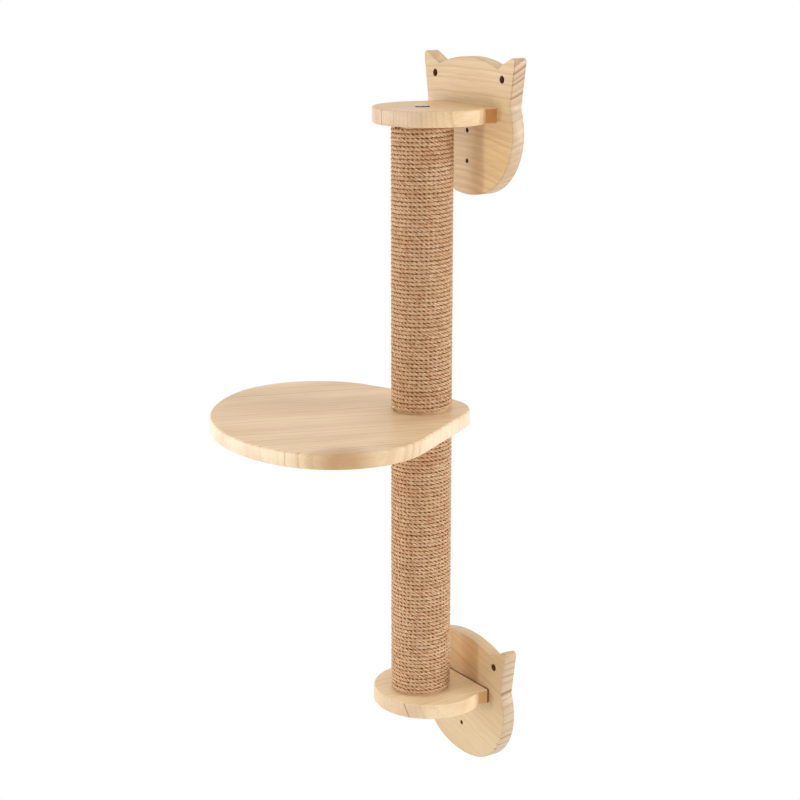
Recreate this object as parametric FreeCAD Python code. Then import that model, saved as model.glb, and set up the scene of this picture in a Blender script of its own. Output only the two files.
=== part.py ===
import FreeCAD, Part

import math
import os
from collections import namedtuple

from FreeCAD import Vector

# Wall mounted cat tree, in millimetres, +Z up. The wall is the plane Y = 0 and the
# tree stands out from it towards -Y. The origin lies on the wall, on the centre line
# of the upper wall plate, level with the pair of screw holes in its ears.

# The wall plates, cut from pine board to the outline of a cat's head.
plate_thickness = 17.0
crown_top = 23.0              # heights are measured from the line of the ear holes
valley_half = 60.0
valley_top = 12.0
ear_tip_half = 94.5
ear_tip_top = 28.5
ear_side_bulge = 1.2          # how far the inner side of an ear swells out
ear_tip_radius = 5.0
valley_radius = 2.5
waist_radius = 12.0
waist_half = 84.5
waist_top = -33.0
cheek_half = 91.0
cheek_radius = 77.0
chin_bottom = -143.0
board_edge_bevel = 1.2        # the eased edge of every board

# Screw holes that take the plates to the wall.
ear_hole_half_spacing = 68.5
ear_hole_recess_radius = 4.5
ear_hole_recess_depth = 8.0
wall_hole_radius = 2.75
centre_hole_heights = (-65.0, -102.0)

# The shelves: most of a disc, with straight cheeks where they meet the plate.
shelf_top = -33.0
shelf_thickness = 19.0
shelf_disc_radius = 70.5
shelf_disc_offset = 12.0      # the disc's centre lies this far behind the post
shelf_back_half = 59.5

# The post: two wooden poles wound with jute rope, one above and one below the platform.
post_centre_y = -83.0
post_radius = 38.0
pole_radius = 33.3
pole_length = 352.0

# The platform: a rounded board that is clamped between the two poles.
platform_thickness = 19.0
platform_heel_radius = 60.5
platform_shoulder_radius = 117.5
platform_shoulder_half = 57.5
platform_shoulder_reach = 123.0
platform_nose_radius = 203.0
platform_edge_bevel = 1.8
platform_swing = -18.5        # degrees about +Z from straight out of the wall

# The rope. A few turns show at each end of each pole, at their real pitch; the long
# stretch between them is a plain sleeve of the same outer size. It starts behind the
# post at a pole's lower end and comes out in front at the upper end.
rope_diameter = 4.6
turns_on_pole = 68.5
turns_at_each_end = 3
sleeve_gap_turns = 0.2        # from the last turn to the sleeve, as a share of the pitch
rope_sides = 6
rope_end_clearance = 0.5      # between the first turn and the board beside it
least_rope_gap = 0.4
points_per_turn = 120
tack_head_radius = 2.2
tack_head_thickness = 0.8
tack_head_sides = 8
tack_shank_radius = 0.9
tack_shank_sides = 4
tack_length = 16.0

# Fasteners. Hidden ones and their holes have many flat sides in place of a round wall.
hidden_sides = 12
bolt_radius = 4.0
bolt_hole_radius = 4.4
bolt_thread_length = 44.0
bolt_head_radius = 8.5
bolt_head_thickness = 2.6
bolt_head_bevel = 0.7
bolt_head_sides = 36
hex_sides = 6
bolt_recess_radius = 9.2
bolt_recess_depth = 1.4
hex_socket_flats = 5.0
hex_socket_depth = 2.0
insert_radius = 6.5
insert_length = 25.0
insert_pocket_depth = 52.0
stud_length = 82.0
stud_running_clearance = 0.08
fit_clearance = 0.04
shelf_screw_x = 20.0
shelf_screw_radius = 2.4
shelf_screw_length = 55.0
shelf_screw_head_radius = 4.6
shelf_screw_head_length = 3.4
dowel_x = 44.0
dowel_radius = 4.0
dowel_in_plate = 11.0
dowel_in_shelf = 22.0

# Heights that follow from the stack of boards and poles.
shelf_bottom = shelf_top - shelf_thickness
platform_top = shelf_bottom - pole_length
platform_bottom = platform_top - platform_thickness
lower_shelf_top = platform_bottom - pole_length
plate_pitch = shelf_top - lower_shelf_top
plate_front_y = -plate_thickness
rope_end_margin = rope_end_clearance + rope_diameter / 2
rope_pitch = (pole_length - 2 * rope_end_margin) / turns_on_pole
up = Vector(0, 0, 1)
to_wall = Vector(0, 1, 0)

# One end of a pole's rope: its angle round the post from the front, the height of its
# middle, and whether the rope goes up from it (way 1) or down from it (way -1).
RopeEnd = namedtuple("RopeEnd", "angle height way")


def cylinder(radius, length, start, direction):
    return Part.makeCylinder(radius, length, start, direction)


def even_polygon(sides, corner_radius, centre, across, over):
    """A closed polygon in the plane of two directions, with a flat side on the first."""
    corners = []
    for side in range(sides + 1):
        angle = 2 * math.pi * (side + 0.5) / sides
        corners.append(centre + across * (corner_radius * math.cos(angle))
                       + over * (corner_radius * math.sin(angle)))
    return Part.makePolygon(corners)


def many_sided(sides, corner_radius, length, start, direction):
    """A bar with flat sides, its corners at one distance from its axis."""
    across = Vector(1, 0, 0)
    outline = even_polygon(sides, corner_radius, start, across, direction.cross(across))
    return Part.Face(outline).extrude(direction * length)


def hidden_bar(radius, length, start, direction):
    return many_sided(hidden_sides, radius, length, start, direction)


def room_around(radius):
    """Corner radius of a many-sided hole that clears a round rod on every flat side."""
    return (radius + fit_clearance) / math.cos(math.pi / hidden_sides)


def hidden_bore(radius, length, start, direction):
    return many_sided(hidden_sides, room_around(radius), length, start, direction)


def tapered_bar(sides, start_radius, end_radius, length, start, direction):
    """A bar with flat sides that narrows from one corner radius to another."""
    across = Vector(1, 0, 0)
    over = direction.cross(across)
    first = even_polygon(sides, start_radius, start, across, over)
    last = even_polygon(sides, end_radius, start + direction * length, across, over)
    faces = [Part.Face(first), Part.Face(last)]
    for low, high in zip(first.Edges, last.Edges):
        low_points = [vertex.Point for vertex in low.Vertexes]
        high_points = [vertex.Point for vertex in high.Vertexes]
        corners = low_points + high_points[::-1] + low_points[:1]
        faces.append(Part.Face(Part.makePolygon(corners)))
    return Part.makeSolid(Part.makeShell(faces))


def line(start, end):
    return Part.LineSegment(start, end).toShape()


def arc(start, middle, end):
    return Part.Arc(start, middle, end).toShape()


def mirrored_x(point):
    return Vector(-point.x, point.y, point.z)


def circle_point(centre, radius, angle):
    """Point at an angle from +X towards +Z on an upright circle."""
    return Vector(centre.x + radius * math.cos(angle), centre.y, centre.z + radius * math.sin(angle))


def angle_from(centre, point):
    return math.atan2(point.z - centre.z, point.x - centre.x)


def rounded(first, second, corner, radius):
    """Two flat edges that meet at a corner, shortened, with an arc of a radius between them."""
    tool = Part.ChFi2d.FilletAPI(first, second, Part.Plane(corner, to_wall))
    tool.perform(radius)
    curve, first_left, second_left = tool.result(corner)
    return [first_left, curve, second_left]


def plate_outline():
    """The cat's head: a crown between two ears, a waist, round cheeks and a wide chin."""
    crown = Vector(0, 0, crown_top)
    valley = Vector(valley_half, 0, valley_top)
    tip = Vector(ear_tip_half, 0, ear_tip_top)
    waist = Vector(waist_half, 0, waist_top)
    side = tip - valley
    swell = Vector(-side.z, 0, side.x).normalize() * ear_side_bulge
    ear_middle = (valley + tip) * 0.5 + swell
    crown_rise = crown_top - valley_top
    crown_radius = (valley_half ** 2 + crown_rise ** 2) / (2 * crown_rise)
    crown_centre = Vector(0, 0, crown_top - crown_radius)
    crown_middle = circle_point(crown_centre, crown_radius,
                                (angle_from(crown_centre, valley) + math.pi / 2) / 2)

    cheek_centre_x = cheek_half - cheek_radius
    cheek_rise = math.sqrt(cheek_radius ** 2 - (waist_half - cheek_centre_x) ** 2)
    cheek = Vector(cheek_centre_x, 0, waist_top - cheek_rise)
    # The chin's circle is centred on the middle line and touches the cheek's from outside.
    drop = chin_bottom + cheek_radius
    chin_height = (cheek.x ** 2 + cheek.z ** 2 - drop ** 2) / (2 * (cheek.z - drop))
    chin = Vector(0, 0, chin_height)
    chin_radius = chin_height - chin_bottom
    meet_angle = angle_from(chin, cheek)
    meet = circle_point(chin, chin_radius, meet_angle)
    cheek_middle = circle_point(cheek, cheek_radius, (angle_from(cheek, waist) + meet_angle) / 2)
    chin_middle = circle_point(chin, chin_radius, (meet_angle - math.pi / 2) / 2)

    crown_edge = arc(crown, crown_middle, valley)
    ear_edge = arc(valley, ear_middle, tip)
    crown_edge, valley_edge, ear_edge = rounded(crown_edge, ear_edge, valley, valley_radius)
    ear_edge, tip_edge, side_edge = rounded(ear_edge, line(tip, waist), tip, ear_tip_radius)
    cheek_edge = arc(waist, cheek_middle, meet)
    side_edge, waist_edge, cheek_edge = rounded(side_edge, cheek_edge, waist, waist_radius)
    chin_edge = arc(meet, chin_middle, Vector(0, 0, chin_bottom))
    half = [crown_edge, valley_edge, ear_edge, tip_edge, side_edge, waist_edge, cheek_edge, chin_edge]
    other_half = [edge.mirror(Vector(0, 0, 0), Vector(1, 0, 0)) for edge in half]
    return Part.Wire(Part.__sortEdges__(half + other_half))


def rim_edges(shape, axis, level):
    """The edges that lie wholly in one plane, square to the Y or the Z axis."""
    found = []
    for edge in shape.Edges:
        box = edge.BoundBox
        low, high = (box.YMin, box.YMax) if axis == "Y" else (box.ZMin, box.ZMax)
        if abs(low - level) < fit_clearance and abs(high - level) < fit_clearance:
            found.append(edge)
    return found


def wall_plate():
    """One wall plate, before it is lowered to its height."""
    plate = Part.Face(plate_outline()).extrude(Vector(0, -plate_thickness, 0))
    plate = plate.makeChamfer(board_edge_bevel, rim_edges(plate, "Y", plate_front_y))
    for side in (-1, 1):
        front = Vector(side * ear_hole_half_spacing, plate_front_y, 0)
        plate = plate.cut(cylinder(wall_hole_radius, plate_thickness, front, to_wall))
        plate = plate.cut(cylinder(ear_hole_recess_radius, ear_hole_recess_depth, front, to_wall))
    for height in centre_hole_heights:
        front = Vector(0, plate_front_y, height)
        plate = plate.cut(cylinder(wall_hole_radius, plate_thickness, front, to_wall))
    return plate.cut(shelf_joint_holes())


def shelf_blank():
    """The board of a shelf, its top at the height of the upper shelf."""
    disc_y = post_centre_y + shelf_disc_offset
    cheek_y = disc_y + math.sqrt(shelf_disc_radius ** 2 - shelf_back_half ** 2)
    back_left = Vector(-shelf_back_half, plate_front_y, shelf_bottom)
    cheek_left = Vector(-shelf_back_half, cheek_y, shelf_bottom)
    front = Vector(0, disc_y - shelf_disc_radius, shelf_bottom)
    edges = [
        line(back_left, cheek_left),
        arc(cheek_left, front, mirrored_x(cheek_left)),
        line(mirrored_x(cheek_left), mirrored_x(back_left)),
        line(mirrored_x(back_left), back_left),
    ]
    board = Part.Face(Part.Wire(edges)).extrude(Vector(0, 0, shelf_thickness))
    rims = rim_edges(board, "Z", shelf_bottom) + rim_edges(board, "Z", shelf_top)
    rims = [edge for edge in rims if edge.BoundBox.YMin < plate_front_y - fit_clearance]
    return board.makeChamfer(board_edge_bevel, rims)


def shelf(bolt_from_above):
    """A shelf with its bolt hole, the recess for the bolt's head, and the joint's holes."""
    board = shelf_blank()
    bottom = Vector(0, post_centre_y, shelf_bottom)
    board = board.cut(hidden_bore(bolt_hole_radius, shelf_thickness, bottom, up))
    recess_z = shelf_top - bolt_recess_depth if bolt_from_above else shelf_bottom
    recess = Vector(0, post_centre_y, recess_z)
    board = board.cut(cylinder(bolt_recess_radius, bolt_recess_depth, recess, up))
    return board.cut(shelf_joint_holes())


def joint_point(x, y):
    """A point of the joint between a plate and its shelf, at half the shelf's thickness."""
    return Vector(x, y, shelf_top - shelf_thickness / 2)


def shelf_screws():
    """The two countersunk screws that hold a shelf to its plate from the wall side."""
    screws = []
    for side in (-1, 1):
        start = joint_point(side * shelf_screw_x, 0)
        head = tapered_bar(hidden_sides, shelf_screw_head_radius, shelf_screw_radius,
                           shelf_screw_head_length, start, -to_wall)
        shank = hidden_bar(shelf_screw_radius, shelf_screw_length, start, -to_wall)
        screws.append(head.fuse(shank))
    return Part.makeCompound(screws)


def shelf_dowels():
    """The two dowels that keep a shelf from turning on its screws."""
    length = dowel_in_plate + dowel_in_shelf
    dowels = []
    for side in (-1, 1):
        start = joint_point(side * dowel_x, plate_front_y + dowel_in_plate)
        dowels.append(hidden_bar(dowel_radius, length, start, -to_wall))
    return Part.makeCompound(dowels)


def shelf_joint_holes():
    """The holes in a plate and its shelf for the screws and the dowels between them."""
    holes = []
    for side in (-1, 1):
        screw = joint_point(side * shelf_screw_x, 0)
        countersink = tapered_bar(hidden_sides, room_around(shelf_screw_head_radius),
                                  room_around(shelf_screw_radius),
                                  shelf_screw_head_length, screw, -to_wall)
        bore_length = shelf_screw_length + fit_clearance
        holes.append(countersink.fuse(hidden_bore(shelf_screw_radius, bore_length, screw, -to_wall)))
        dowel = joint_point(side * dowel_x, plate_front_y + dowel_in_plate + fit_clearance)
        dowel_room = dowel_in_plate + dowel_in_shelf + 2 * fit_clearance
        holes.append(hidden_bore(dowel_radius, dowel_room, dowel, -to_wall))
    return Part.makeCompound(holes)


def shelf_bolt():
    """The flat-headed bolt that pulls a shelf onto its pole, head up on the upper shelf."""
    seat_z = shelf_top - bolt_recess_depth
    seat = Vector(0, post_centre_y, seat_z)
    straight = bolt_head_thickness - bolt_head_bevel
    head = many_sided(bolt_head_sides, bolt_head_radius, straight, seat, up)
    bevel = tapered_bar(bolt_head_sides, bolt_head_radius, bolt_head_radius - bolt_head_bevel,
                        bolt_head_bevel, seat + up * straight, up)
    head = head.fuse(bevel)
    thread = hidden_bar(bolt_radius, bolt_thread_length, seat, -up)
    socket_z = seat_z + bolt_head_thickness - hex_socket_depth
    socket_start = Vector(0, post_centre_y, socket_z)
    socket = many_sided(hex_sides, hex_socket_flats / math.sqrt(3), hex_socket_depth, socket_start, up)
    return head.fuse(thread).cut(socket)


def insert_at(end_z, inward):
    """A threaded insert, driven flush into the end of a pole."""
    end = Vector(0, post_centre_y, end_z)
    body = hidden_bar(insert_radius, insert_length, end, inward)
    return body.cut(hidden_bore(bolt_radius, insert_length, end, inward))


def insert_pocket(end_z, inward):
    """The room that a pole's end gives to the insert and the end of its bolt."""
    end = Vector(0, post_centre_y, end_z)
    return hidden_bore(insert_radius, insert_pocket_depth, end, inward)


def pole(bottom_z):
    """One wooden pole with an insert pocket in each end and the tacks' holes."""
    top_z = bottom_z + pole_length
    wood = cylinder(pole_radius, pole_length, Vector(0, post_centre_y, bottom_z), up)
    wood = wood.cut(insert_pocket(bottom_z, up))
    wood = wood.cut(insert_pocket(top_z, -up))
    return wood.cut(tack_holes(bottom_z))


def pole_inserts(bottom_z):
    return Part.makeCompound([insert_at(bottom_z, up), insert_at(bottom_z + pole_length, -up)])


def winding_radius():
    """Distance from the post's axis to the middle of the rope."""
    return post_radius - rope_diameter / 2


def outward(angle):
    """The level direction out of the post at an angle from its front."""
    return Vector(math.sin(angle), -math.cos(angle), 0)


def helix_point(end, turned):
    """A point of the winding, once the rope has turned through an angle from its end."""
    angle = end.angle + end.way * turned
    height = end.height + end.way * rope_pitch * turned / (2 * math.pi)
    return Vector(0, post_centre_y, height) + outward(angle) * winding_radius()


def helix_tangent(end, turned):
    """The rope's direction there, away from its end."""
    angle = end.angle + end.way * turned
    radius = winding_radius()
    rise = rope_pitch / (2 * math.pi)
    return Vector(radius * math.cos(angle), radius * math.sin(angle), rise).normalize() * end.way


def arc_along(start, tangent, end):
    """The arc that leaves a point along a tangent and ends at another point."""
    chord = end - start
    turn = tangent.getAngle(chord)
    across = tangent - chord * (tangent.dot(chord) / chord.dot(chord))
    middle = (start + end) * 0.5 + across.normalize() * (chord.Length / 2 * math.tan(turn / 2))
    return arc(start, middle, end)


def biarc(start, start_tangent, end, end_tangent):
    """Two arcs that join two points smoothly, with a common tangent between them."""
    span = end - start
    both = start_tangent + end_tangent
    a = 2 * (start_tangent.dot(end_tangent) - 1)
    b = -2 * span.dot(both)
    c = span.dot(span)
    reach = (-b - math.sqrt(b * b - 4 * a * c)) / (2 * a)
    if reach < 0:
        reach = (-b + math.sqrt(b * b - 4 * a * c)) / (2 * a)
    join = (start + end + (start_tangent - end_tangent) * reach) * 0.5
    return [arc_along(start, start_tangent, join), arc_along(end, -end_tangent, join)]


def rope_path(end):
    """The rope's middle line over the turns at one end of a pole."""
    steps = 2 * turns_at_each_end
    first = helix_point(end, 0)
    edges = [line(first - helix_tangent(end, 0) * rope_diameter, first)]
    for step in range(steps):
        turned = math.pi * step
        following = math.pi * (step + 1)
        edges += biarc(helix_point(end, turned), helix_tangent(end, turned),
                       helix_point(end, following), helix_tangent(end, following))
    last = helix_point(end, math.pi * steps)
    edges.append(line(last, last + helix_tangent(end, math.pi * steps) * rope_diameter))
    return Part.Wire(Part.__sortEdges__(edges))


def rope_section(centre, tangent):
    """The rope's section: an even polygon, square to its path."""
    across = tangent.cross(up).normalize()
    return even_polygon(rope_sides, rope_diameter / 2, centre, across, across.cross(tangent))


def least_gap(path):
    """The least free space between one turn and the next, from points on the path."""
    points = path.discretize(Number=points_per_turn * turns_at_each_end)
    skip = points_per_turn // 2
    least = math.inf
    for index, point in enumerate(points):
        for other in points[index + skip:]:
            least = min(least, point.distanceToPoint(other))
    return least - rope_diameter


def rope_tube(end):
    path = rope_path(end)
    gap = least_gap(path)
    print("least gap between rope turns:", round(gap, 3), "mm")
    if gap <= least_rope_gap:
        raise ValueError("the rope's turns lie too close together")
    tangent = helix_tangent(end, 0)
    start = helix_point(end, 0) - tangent * rope_diameter
    sweep = Part.BRepOffsetAPI.MakePipeShell(path)
    sweep.add(rope_section(start, tangent))
    sweep.build()
    sweep.makeSolid()
    return sweep.shape()


def rope_ends(bottom_z):
    """The two ends of one pole's rope: behind the post below, in front above."""
    low = RopeEnd(math.pi, bottom_z + rope_end_margin, 1)
    high = RopeEnd(0, bottom_z + pole_length - rope_end_margin, -1)
    return low, high


def rope_turns():
    """The turns at both ends of both poles, each an unbroken piece of rope."""
    tubes = []
    for bottom_z in (platform_top, lower_shelf_top):
        for end in rope_ends(bottom_z):
            tubes.append(rope_tube(end))
    return Part.makeCompound(tubes)


def rope_sleeve(bottom_z):
    """The long stretch of closely wound rope between the turns at a pole's ends."""
    band = rope_end_margin + rope_diameter / 2 + (turns_at_each_end + sleeve_gap_turns) * rope_pitch
    length = pole_length - 2 * band
    start = Vector(0, post_centre_y, bottom_z + band)
    outside = cylinder(post_radius, length, start, up)
    return outside.cut(cylinder(pole_radius + fit_clearance, length, start, up))


def tack_seat(end):
    """Where a tack's head rests on the rope's end."""
    return Vector(0, post_centre_y, end.height) + outward(end.angle) * post_radius


def rope_tacks(bottom_z):
    """The nails that hold the two ends of one pole's rope."""
    tacks = []
    for end in rope_ends(bottom_z):
        seat = tack_seat(end)
        out = outward(end.angle)
        head = many_sided(tack_head_sides, tack_head_radius, tack_head_thickness, seat, out)
        shank = many_sided(tack_shank_sides, tack_shank_radius, tack_length, seat, -out)
        tacks.append(head.fuse(shank))
    return Part.makeCompound(tacks)


def tack_holes(bottom_z):
    """The holes that the tacks leave in a pole."""
    holes = []
    for end in rope_ends(bottom_z):
        holes.append(many_sided(tack_shank_sides, tack_shank_radius + fit_clearance,
                                tack_length + fit_clearance, tack_seat(end), -outward(end.angle)))
    return Part.makeCompound(holes)


def platform_outline():
    """A small round heel at the post, straight sides, round shoulders and a flatter nose."""
    heel = Vector(0, post_centre_y, platform_bottom)
    shoulder = heel + Vector(platform_shoulder_half, -platform_shoulder_reach, 0)
    to_shoulder = shoulder - heel
    widening = platform_shoulder_radius - platform_heel_radius
    bearing = math.atan2(to_shoulder.y, to_shoulder.x)
    lean = math.acos(-widening / to_shoulder.Length)
    side = Vector(math.cos(bearing + lean), math.sin(bearing + lean), 0)
    set_back = math.sqrt((platform_nose_radius - platform_shoulder_radius) ** 2
                         - platform_shoulder_half ** 2)
    nose = heel + Vector(0, set_back - platform_shoulder_reach, 0)
    nose_side = (shoulder - nose).normalize()
    shoulder_middle = (side + nose_side).normalize()
    heel_side = heel + side * platform_heel_radius
    shoulder_side = shoulder + side * platform_shoulder_radius
    shoulder_end = nose + nose_side * platform_nose_radius
    shoulder_way = shoulder + shoulder_middle * platform_shoulder_radius
    nose_front = nose - to_wall * platform_nose_radius
    heel_back = heel + to_wall * platform_heel_radius
    edges = [
        arc(mirrored_x(heel_side), heel_back, heel_side),
        line(heel_side, shoulder_side),
        arc(shoulder_side, shoulder_way, shoulder_end),
        arc(shoulder_end, nose_front, mirrored_x(shoulder_end)),
        arc(mirrored_x(shoulder_end), mirrored_x(shoulder_way), mirrored_x(shoulder_side)),
        line(mirrored_x(shoulder_side), mirrored_x(heel_side)),
    ]
    return Part.Wire(edges)


def platform():
    """The platform, swung to the side as it is set in use."""
    board = Part.Face(platform_outline()).extrude(Vector(0, 0, platform_thickness))
    rims = rim_edges(board, "Z", platform_bottom) + rim_edges(board, "Z", platform_top)
    board = board.makeChamfer(platform_edge_bevel, rims)
    axis_point = Vector(0, post_centre_y, platform_bottom)
    hole_radius = bolt_radius + stud_running_clearance
    board = board.cut(cylinder(hole_radius, platform_thickness, axis_point, up))
    board.rotate(axis_point, up, platform_swing)
    return board


def joining_stud():
    """The headless stud that joins the two poles through the platform."""
    middle_z = platform_top - platform_thickness / 2
    return cylinder(bolt_radius, stud_length, Vector(0, post_centre_y, middle_z - stud_length / 2), up)


def lowered(shape):
    """A copy of an upper piece at the height of the lower wall plate."""
    copy = shape.copy()
    copy.translate(Vector(0, 0, -plate_pitch))
    return copy


def turned_over(shape):
    """A copy of the upper shelf's bolt, head down under the lower shelf."""
    copy = shape.copy()
    middle = Vector(0, post_centre_y, shelf_top - shelf_thickness / 2)
    copy.rotate(middle, Vector(1, 0, 0), 180)
    return lowered(copy)


def build():
    """Every piece of the tree, by the name of its node."""
    bolt = shelf_bolt()
    return {
        "upper_wall_plate": wall_plate(),
        "upper_shelf": shelf(True),
        "upper_shelf_screws": shelf_screws(),
        "upper_shelf_dowels": shelf_dowels(),
        "upper_shelf_bolt": bolt,
        "upper_pole": pole(platform_top),
        "upper_pole_inserts": pole_inserts(platform_top),
        "upper_rope": rope_sleeve(platform_top),
        "upper_rope_tacks": rope_tacks(platform_top),
        "rope_end_turns": rope_turns(),
        "platform": platform(),
        "joining_stud": joining_stud(),
        "lower_pole": pole(lower_shelf_top),
        "lower_pole_inserts": pole_inserts(lower_shelf_top),
        "lower_rope": rope_sleeve(lower_shelf_top),
        "lower_rope_tacks": rope_tacks(lower_shelf_top),
        "lower_wall_plate": lowered(wall_plate()),
        "lower_shelf": lowered(shelf(False)),
        "lower_shelf_screws": lowered(shelf_screws()),
        "lower_shelf_dowels": lowered(shelf_dowels()),
        "lower_shelf_bolt": turned_over(bolt),
    }


os.makedirs("parts", exist_ok=True)
for node, shape in build().items():
    print(node, "solids", len(shape.Solids), "valid", shape.isValid(), "volume", round(shape.Volume))
    shape.exportStep("parts/" + node + ".step")
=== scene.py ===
"""Looks of a wall mounted cat tree: pine boards, a post wound with jute rope, and its fittings.

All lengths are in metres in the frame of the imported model. The wall is the plane y = 0,
the tree stands out from it towards -y, and z points up from the line of the upper ear holes.
"""
import logging
import math
from dataclasses import dataclass
from enum import Enum
from typing import Any, Optional, Sequence

import bpy
import numpy as np
from mathutils import Matrix, Vector


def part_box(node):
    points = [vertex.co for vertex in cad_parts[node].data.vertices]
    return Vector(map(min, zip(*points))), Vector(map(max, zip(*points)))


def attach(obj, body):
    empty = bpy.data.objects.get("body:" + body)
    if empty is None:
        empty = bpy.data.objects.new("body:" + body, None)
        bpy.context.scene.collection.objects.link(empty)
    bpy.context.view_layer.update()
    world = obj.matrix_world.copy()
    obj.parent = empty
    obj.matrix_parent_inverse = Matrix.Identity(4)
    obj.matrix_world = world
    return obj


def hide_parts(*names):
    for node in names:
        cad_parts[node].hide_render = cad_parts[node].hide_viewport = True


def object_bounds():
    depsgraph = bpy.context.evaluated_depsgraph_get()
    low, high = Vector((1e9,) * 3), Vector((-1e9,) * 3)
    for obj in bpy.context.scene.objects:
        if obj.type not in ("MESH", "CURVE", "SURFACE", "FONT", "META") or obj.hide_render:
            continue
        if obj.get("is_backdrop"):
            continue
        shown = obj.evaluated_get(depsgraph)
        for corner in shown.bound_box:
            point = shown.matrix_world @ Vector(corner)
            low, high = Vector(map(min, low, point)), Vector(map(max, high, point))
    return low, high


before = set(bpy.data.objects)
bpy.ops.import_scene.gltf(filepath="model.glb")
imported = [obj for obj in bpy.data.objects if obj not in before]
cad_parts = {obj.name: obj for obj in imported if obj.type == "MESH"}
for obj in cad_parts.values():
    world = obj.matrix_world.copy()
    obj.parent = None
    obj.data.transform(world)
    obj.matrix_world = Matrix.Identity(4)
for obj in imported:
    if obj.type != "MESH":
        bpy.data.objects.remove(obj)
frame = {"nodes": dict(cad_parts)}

LOG = logging.getLogger("cat_tree")
MM = 0.001

Socket = Any
Colour = tuple[float, float, float]
Place = tuple[float, float, float]
# A fade holds where a smooth share starts and ends, then its size at either end if not 0 and 1.
Fade = tuple[float, ...]

UP: Place = (0.0, 0.0, 1.0)
TO_WALL: Place = (0.0, 1.0, 0.0)
TO_ROOM: Place = (0.0, -1.0, 0.0)
TO_RIGHT: Place = (1.0, 0.0, 0.0)
PLATE_FRONT = -17.0 * MM
PLATE_DROP = -742.0 * MM
SCREEN_STRAIGHT_BELOW = 0.04045
SCREEN_SLOPE = 12.92
SCREEN_LIFT = 0.055
SCREEN_CURVE = 2.4
CREASE = math.radians(35)


def linear(red: int, green: int, blue: int) -> Colour:
    """A colour given as it looks on screen, as the light that the shader works with.

    Args:
        red: red part, 0 to 255.
        green: green part, 0 to 255.
        blue: blue part, 0 to 255.

    Returns:
        The three parts in linear light, 0 to 1.
    """
    parts = []
    for part in (red, green, blue):
        share = part / 255
        if share <= SCREEN_STRAIGHT_BELOW:
            parts.append(share / SCREEN_SLOPE)
        else:
            parts.append(((share + SCREEN_LIFT) / (1 + SCREEN_LIFT)) ** SCREEN_CURVE)
    return (parts[0], parts[1], parts[2])


# --------------------------------------------------------------------------- materials


@dataclass(frozen=True)
class Texture:
    """Soft cloudy noise: how fine it is each way, in waves per unit, and its finer layers."""

    fineness: tuple[float, ...]
    detail: float = 2.0
    rough: float = 0.5


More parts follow.
